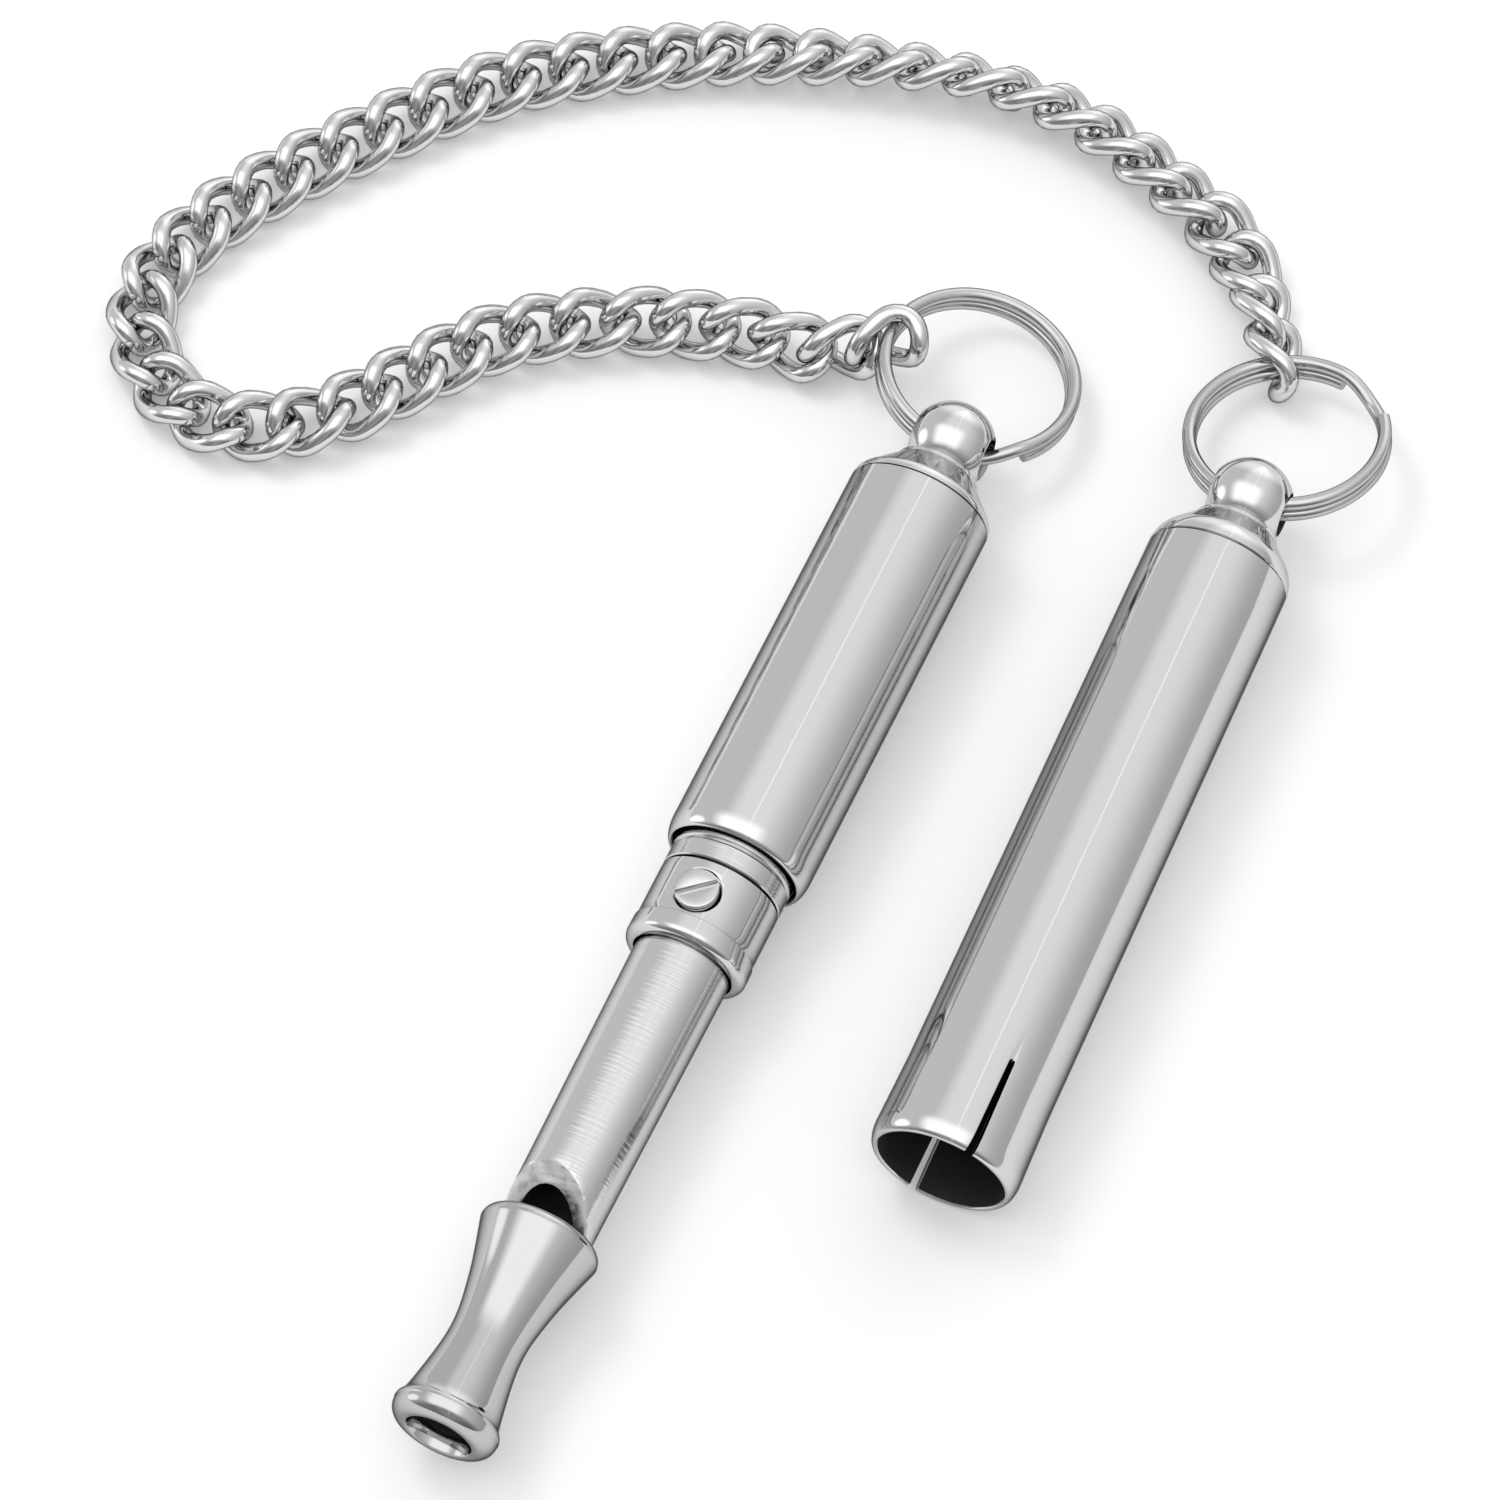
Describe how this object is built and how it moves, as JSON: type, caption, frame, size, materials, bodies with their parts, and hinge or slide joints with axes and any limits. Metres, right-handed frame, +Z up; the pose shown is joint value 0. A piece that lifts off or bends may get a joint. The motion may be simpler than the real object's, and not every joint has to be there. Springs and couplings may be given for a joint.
{
  "type": "dog whistle",
  "caption": "Adjustable nickel-plated dog whistle with flared mouthpiece, sound window, lock collar and barrel, joined to its slip-on cap by a twisted curb chain and split rings.",
  "frame": {"origin": "on the table under the middle of the whole as it lies, with whistle, chain and cap", "axes": "+Y along the cap towards its ball, +X from the whistle towards the cap, +Z up from the table"},
  "size_m": [0.0804, 0.1044, 0.0097],
  "materials": {
    "nickel": "bright nickel plate over brass",
    "brass": "bare turned brass",
    "washer": "pressed leather washer"
  },
  "bodies": {
    "barrel": {"barrel": "nickel", "barrel_finial": "nickel", "neck_bush": "nickel", "lock_collar": "nickel", "plunger": "brass"},
    "screw": {"lock_screw": "nickel"},
    "seal": {"plunger_seal": "washer"},
    "head": {"mouthpiece": "nickel", "fipple_plug": "brass", "whistle_tube": "nickel"},
    "whistle_ring": {"whistle_ring": "nickel"},
    "link_01": {"chain_link_01": "nickel"},
    "link_02": {"chain_link_02": "nickel"},
    "link_03": {"chain_link_03": "nickel"},
    "link_04": {"chain_link_04": "nickel"},
    "link_05": {"chain_link_05": "nickel"},
    "link_06": {"chain_link_06": "nickel"},
    "link_07": {"chain_link_07": "nickel"},
    "link_08": {"chain_link_08": "nickel"},
    "link_09": {"chain_link_09": "nickel"},
    "link_10": {"chain_link_10": "nickel"},
    "link_11": {"chain_link_11": "nickel"},
    "link_12": {"chain_link_12": "nickel"},
    "link_13": {"chain_link_13": "nickel"},
    "link_14": {"chain_link_14": "nickel"},
    "link_15": {"chain_link_15": "nickel"},
    "link_16": {"chain_link_16": "nickel"},
    "link_17": {"chain_link_17": "nickel"},
    "link_18": {"chain_link_18": "nickel"},
    "link_19": {"chain_link_19": "nickel"},
    "link_20": {"chain_link_20": "nickel"},
    "link_21": {"chain_link_21": "nickel"},
    "link_22": {"chain_link_22": "nickel"},
    "link_23": {"chain_link_23": "nickel"},
    "link_24": {"chain_link_24": "nickel"},
    "link_25": {"chain_link_25": "nickel"},
    "link_26": {"chain_link_26": "nickel"},
    "link_27": {"chain_link_27": "nickel"},
    "link_28": {"chain_link_28": "nickel"},
    "link_29": {"chain_link_29": "nickel"},
    "link_30": {"chain_link_30": "nickel"},
    "link_31": {"chain_link_31": "nickel"},
    "link_32": {"chain_link_32": "nickel"},
    "link_33": {"chain_link_33": "nickel"},
    "link_34": {"chain_link_34": "nickel"},
    "link_35": {"chain_link_35": "nickel"},
    "link_36": {"chain_link_36": "nickel"},
    "link_37": {"chain_link_37": "nickel"},
    "link_38": {"chain_link_38": "nickel"},
    "link_39": {"chain_link_39": "nickel"},
    "link_40": {"chain_link_40": "nickel"},
    "link_41": {"chain_link_41": "nickel"},
    "link_42": {"chain_link_42": "nickel"},
    "link_43": {"chain_link_43": "nickel"},
    "link_44": {"chain_link_44": "nickel"},
    "link_45": {"chain_link_45": "nickel"},
    "link_46": {"chain_link_46": "nickel"},
    "cap_ring": {"cap_ring": "nickel"},
    "cap": {"cap_tube": "nickel", "cap_finial": "nickel"}
  },
  "joints": [
    {"name": "lock_screw_turn", "type": "hinge", "parent": "barrel", "child": "screw", "pos_m": [0.01306, -0.01421, 0.0085], "axis": [-0.1218, 0.0033, 0.9925], "range_deg": [0, 180]},
    {"name": "pitch_turn", "type": "hinge", "parent": "barrel", "child": "seal", "pos_m": [0.01363, -0.01002, 0.00478], "axis": [0.0267, 0.9996, 0], "range_deg": [-362, 1082]},
    {"name": "pitch_travel", "type": "slide", "parent": "seal", "child": "head", "axis": [-0.0267, -0.9996, 0], "range_m": [-0.00075, 0.00225]},
    {"name": "whistle_ring_swing", "type": "hinge", "parent": "barrel", "child": "whistle_ring", "pos_m": [0.01451, 0.02295, 0.00478], "axis": [0.9996, -0.0267, 0], "range_deg": [0, 90]},
    {"name": "cap_swing", "type": "hinge", "parent": "cap_ring", "child": "cap", "pos_m": [0.03335, 0.02649, 0.00485], "axis": [-1, 0, 0], "range_deg": [0, 90]},
    {"name": "cap_ring_turn", "type": "hinge", "parent": "link_46", "child": "cap_ring", "pos_m": [0.03117, 0.03787, 0.00229], "axis": [0, 0, 1], "range_deg": [-3, 8]},
    {"name": "chain_hinge_01", "type": "hinge", "parent": "whistle_ring", "child": "link_01", "pos_m": [0.0078, 0.02894, 0.00458], "axis": [0, 0, 1], "range_deg": [-3, 6]},
    {"name": "chain_hinge_02", "type": "hinge", "parent": "link_01", "child": "link_02", "pos_m": [0.00626, 0.02809, 0.00339], "axis": [0, 0, -1], "range_deg": [-8, 3]},
    {"name": "chain_hinge_03", "type": "hinge", "parent": "link_02", "child": "link_03", "pos_m": [0.00336, 0.02715, 0.00223], "axis": [0, 0, 1], "range_deg": [0, 8]},
    {"name": "chain_hinge_04", "type": "hinge", "parent": "link_03", "child": "link_04", "pos_m": [0.00012, 0.02689, 0.00229], "axis": [0, 0, -1], "range_deg": [-8, 3]},
    {"name": "chain_hinge_05", "type": "hinge", "parent": "link_04", "child": "link_05", "pos_m": [-0.00307, 0.02626, 0.00221], "axis": [0, 0, 1], "range_deg": [-3, 8]},
    {"name": "chain_hinge_06", "type": "hinge", "parent": "link_05", "child": "link_06", "pos_m": [-0.00619, 0.02533, 0.00212], "axis": [0, 0, -1], "range_deg": [-8, 3]},
    {"name": "chain_hinge_07", "type": "hinge", "parent": "link_06", "child": "link_07", "pos_m": [-0.00918, 0.02405, 0.00214], "axis": [0, 0, 1], "range_deg": [-3, 8]},
    {"name": "chain_hinge_08", "type": "hinge", "parent": "link_07", "child": "link_08", "pos_m": [-0.01205, 0.02251, 0.0022], "axis": [0, 0, -1], "range_deg": [-8, 3]},
    {"name": "chain_hinge_09", "type": "hinge", "parent": "link_08", "child": "link_09", "pos_m": [-0.0148, 0.02077, 0.00225], "axis": [0, 0, 1], "range_deg": [-3, 8]},
    {"name": "chain_hinge_10", "type": "hinge", "parent": "link_09", "child": "link_10", "pos_m": [-0.01728, 0.01867, 0.00227], "axis": [0, 0, -1], "range_deg": [-8, 3]},
    {"name": "chain_hinge_11", "type": "hinge", "parent": "link_10", "child": "link_11", "pos_m": [-0.01934, 0.01615, 0.00224], "axis": [0, 0, 1], "range_deg": [-3, 8]},
    {"name": "chain_hinge_12", "type": "hinge", "parent": "link_11", "child": "link_12", "pos_m": [-0.02133, 0.01357, 0.00218], "axis": [0, 0, -1], "range_deg": [-8, 3]},
    {"name": "chain_hinge_13", "type": "hinge", "parent": "link_12", "child": "link_13", "pos_m": [-0.0233, 0.01099, 0.00207], "axis": [0, 0, 1], "range_deg": [-3, 8]},
    {"name": "chain_hinge_14", "type": "hinge", "parent": "link_13", "child": "link_14", "pos_m": [-0.02574, 0.00883, 0.00198], "axis": [0, 0, -1], "range_deg": [-8, 1]},
    {"name": "chain_hinge_15", "type": "hinge", "parent": "link_14", "child": "link_15", "pos_m": [-0.02877, 0.00765, 0.00186], "axis": [0, 0, 1], "range_deg": [0, 8]},
    {"name": "chain_hinge_16", "type": "hinge", "parent": "link_15", "child": "link_16", "pos_m": [-0.03202, 0.0078, 0.00173], "axis": [0, 0, -1], "range_deg": [-8, 3]},
    {"name": "chain_hinge_17", "type": "hinge", "parent": "link_16", "child": "link_17", "pos_m": [-0.03494, 0.00923, 0.00164], "axis": [0, 0, 1], "range_deg": [-3, 8]},
    {"name": "chain_hinge_18", "type": "hinge", "parent": "link_17", "child": "link_18", "pos_m": [-0.03711, 0.01165, 0.00166], "axis": [0, 0, -1], "range_deg": [-8, 3]},
    {"name": "chain_hinge_19", "type": "hinge", "parent": "link_18", "child": "link_19", "pos_m": [-0.03808, 0.01476, 0.0017], "axis": [0, 0, 1], "range_deg": [-3, 8]},
    {"name": "chain_hinge_20", "type": "hinge", "parent": "link_19", "child": "link_20", "pos_m": [-0.03776, 0.018, 0.00173], "axis": [0, 0, -1], "range_deg": [-8, 3]},
    {"name": "chain_hinge_21", "type": "hinge", "parent": "link_20", "child": "link_21", "pos_m": [-0.03658, 0.02103, 0.00177], "axis": [0, 0, 1], "range_deg": [-3, 8]},
    {"name": "chain_hinge_22", "type": "hinge", "parent": "link_21", "child": "link_22", "pos_m": [-0.03499, 0.02387, 0.0018], "axis": [0, 0, -1], "range_deg": [-8, 3]},
    {"name": "chain_hinge_23", "type": "hinge", "parent": "link_22", "child": "link_23", "pos_m": [-0.0332, 0.02659, 0.00181], "axis": [0, 0, 1], "range_deg": [-3, 8]},
    {"name": "chain_hinge_24", "type": "hinge", "parent": "link_23", "child": "link_24", "pos_m": [-0.03123, 0.02917, 0.00182], "axis": [0, 0, -1], "range_deg": [-8, 3]},
    {"name": "chain_hinge_25", "type": "hinge", "parent": "link_24", "child": "link_25", "pos_m": [-0.02918, 0.0317, 0.00182], "axis": [0, 0, 1], "range_deg": [-3, 8]},
    {"name": "chain_hinge_26", "type": "hinge", "parent": "link_25", "child": "link_26", "pos_m": [-0.02712, 0.03422, 0.00182], "axis": [0, 0, -1], "range_deg": [-8, 3]},
    {"name": "chain_hinge_27", "type": "hinge", "parent": "link_26", "child": "link_27", "pos_m": [-0.02494, 0.03664, 0.00181], "axis": [0, 0, 1], "range_deg": [-3, 8]},
    {"name": "chain_hinge_28", "type": "hinge", "parent": "link_27", "child": "link_28", "pos_m": [-0.02252, 0.03881, 0.00178], "axis": [0, 0, -1], "range_deg": [-8, 3]},
    {"name": "chain_hinge_29", "type": "hinge", "parent": "link_28", "child": "link_29", "pos_m": [-0.01991, 0.04076, 0.00173], "axis": [0, 0, 1], "range_deg": [-3, 8]},
    {"name": "chain_hinge_30", "type": "hinge", "parent": "link_29", "child": "link_30", "pos_m": [-0.0172, 0.04257, 0.00169], "axis": [0, 0, -1], "range_deg": [-8, 3]},
    {"name": "chain_hinge_31", "type": "hinge", "parent": "link_30", "child": "link_31", "pos_m": [-0.01439, 0.04421, 0.00167], "axis": [0, 0, 1], "range_deg": [-3, 8]},
    {"name": "chain_hinge_32", "type": "hinge", "parent": "link_31", "child": "link_32", "pos_m": [-0.01148, 0.04566, 0.00172], "axis": [0, 0, -1], "range_deg": [-8, 3]},
    {"name": "chain_hinge_33", "type": "hinge", "parent": "link_32", "child": "link_33", "pos_m": [-0.00848, 0.0469, 0.00187], "axis": [0, 0, 1], "range_deg": [-3, 8]},
    {"name": "chain_hinge_34", "type": "hinge", "parent": "link_33", "child": "link_34", "pos_m": [-0.00541, 0.04799, 0.00202], "axis": [0, 0, -1], "range_deg": [-8, 3]},
    {"name": "chain_hinge_35", "type": "hinge", "parent": "link_34", "child": "link_35", "pos_m": [-0.00231, 0.04895, 0.00216], "axis": [0, 0, 1], "range_deg": [-3, 8]},
    {"name": "chain_hinge_36", "type": "hinge", "parent": "link_35", "child": "link_36", "pos_m": [0.00086, 0.04968, 0.00228], "axis": [0, 0, -1], "range_deg": [-8, 3]},
    {"name": "chain_hinge_37", "type": "hinge", "parent": "link_36", "child": "link_37", "pos_m": [0.00407, 0.0502, 0.00234], "axis": [0, 0, 1], "range_deg": [-3, 8]},
    {"name": "chain_hinge_38", "type": "hinge", "parent": "link_37", "child": "link_38", "pos_m": [0.00732, 0.05036, 0.00237], "axis": [0, 0, -1], "range_deg": [-8, 3]},
    {"name": "chain_hinge_39", "type": "hinge", "parent": "link_38", "child": "link_39", "pos_m": [0.01057, 0.05014, 0.00235], "axis": [0, 0, 1], "range_deg": [-3, 8]},
    {"name": "chain_hinge_40", "type": "hinge", "parent": "link_39", "child": "link_40", "pos_m": [0.01377, 0.04955, 0.00229], "axis": [0, 0, -1], "range_deg": [-8, 3]},
    {"name": "chain_hinge_41", "type": "hinge", "parent": "link_40", "child": "link_41", "pos_m": [0.01688, 0.0486, 0.00219], "axis": [0, 0, 1], "range_deg": [-3, 8]},
    {"name": "chain_hinge_42", "type": "hinge", "parent": "link_41", "child": "link_42", "pos_m": [0.01994, 0.04748, 0.00213], "axis": [0, 0, -1], "range_deg": [-8, 3]},
    {"name": "chain_hinge_43", "type": "hinge", "parent": "link_42", "child": "link_43", "pos_m": [0.02293, 0.0462, 0.00212], "axis": [0, 0, 1], "range_deg": [-3, 8]},
    {"name": "chain_hinge_44", "type": "hinge", "parent": "link_43", "child": "link_44", "pos_m": [0.02568, 0.04446, 0.0022], "axis": [0, 0, -1], "range_deg": [-8, 3]},
    {"name": "chain_hinge_45", "type": "hinge", "parent": "link_44", "child": "link_45", "pos_m": [0.02808, 0.04227, 0.00233], "axis": [0, 0, 1], "range_deg": [0, 8]},
    {"name": "chain_hinge_46", "type": "hinge", "parent": "link_45", "child": "link_46", "pos_m": [0.03, 0.03964, 0.00231], "axis": [0, 0, -1], "range_deg": [-8, 3]}
  ],
  "couplings": [
    {"joint": "pitch_turn", "follows": "pitch_travel", "rad_per_m": 8377.6}
  ]
}
